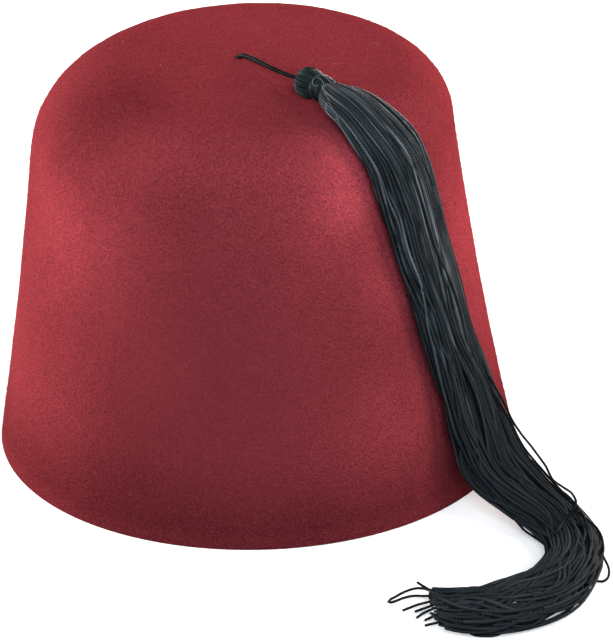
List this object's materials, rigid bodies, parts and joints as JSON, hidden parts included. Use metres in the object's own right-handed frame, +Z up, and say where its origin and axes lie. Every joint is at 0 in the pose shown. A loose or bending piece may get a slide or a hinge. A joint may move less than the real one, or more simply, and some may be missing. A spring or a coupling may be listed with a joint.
{
  "type": "fez hat with a tassel",
  "caption": "Brimless red felt hat, a tapered hollow crown with a rounded top, and a long black tassel on a short cord from its middle.",
  "frame": {"origin": "on the surface the hat stands on, under the middle of the crown's rim", "axes": "+Z up through the top, +X along the crown's longest side to side, -Y towards the side where the tassel lies"},
  "size_m": [0.2205, 0.245, 0.1646],
  "materials": {
    "felt": "matt pressed wool felt with a short nap",
    "cord": "twisted cord, low sheen",
    "tassel": "fine twisted rayon cords with a soft sheen",
    "binding": "fine wound thread with a sheen"
  },
  "bodies": {
    "root": {"crown": "felt", "tassel_cord": "cord", "cord_knot": "cord", "tassel": "tassel", "neck_binding": "binding"}
  },
  "joints": []
}
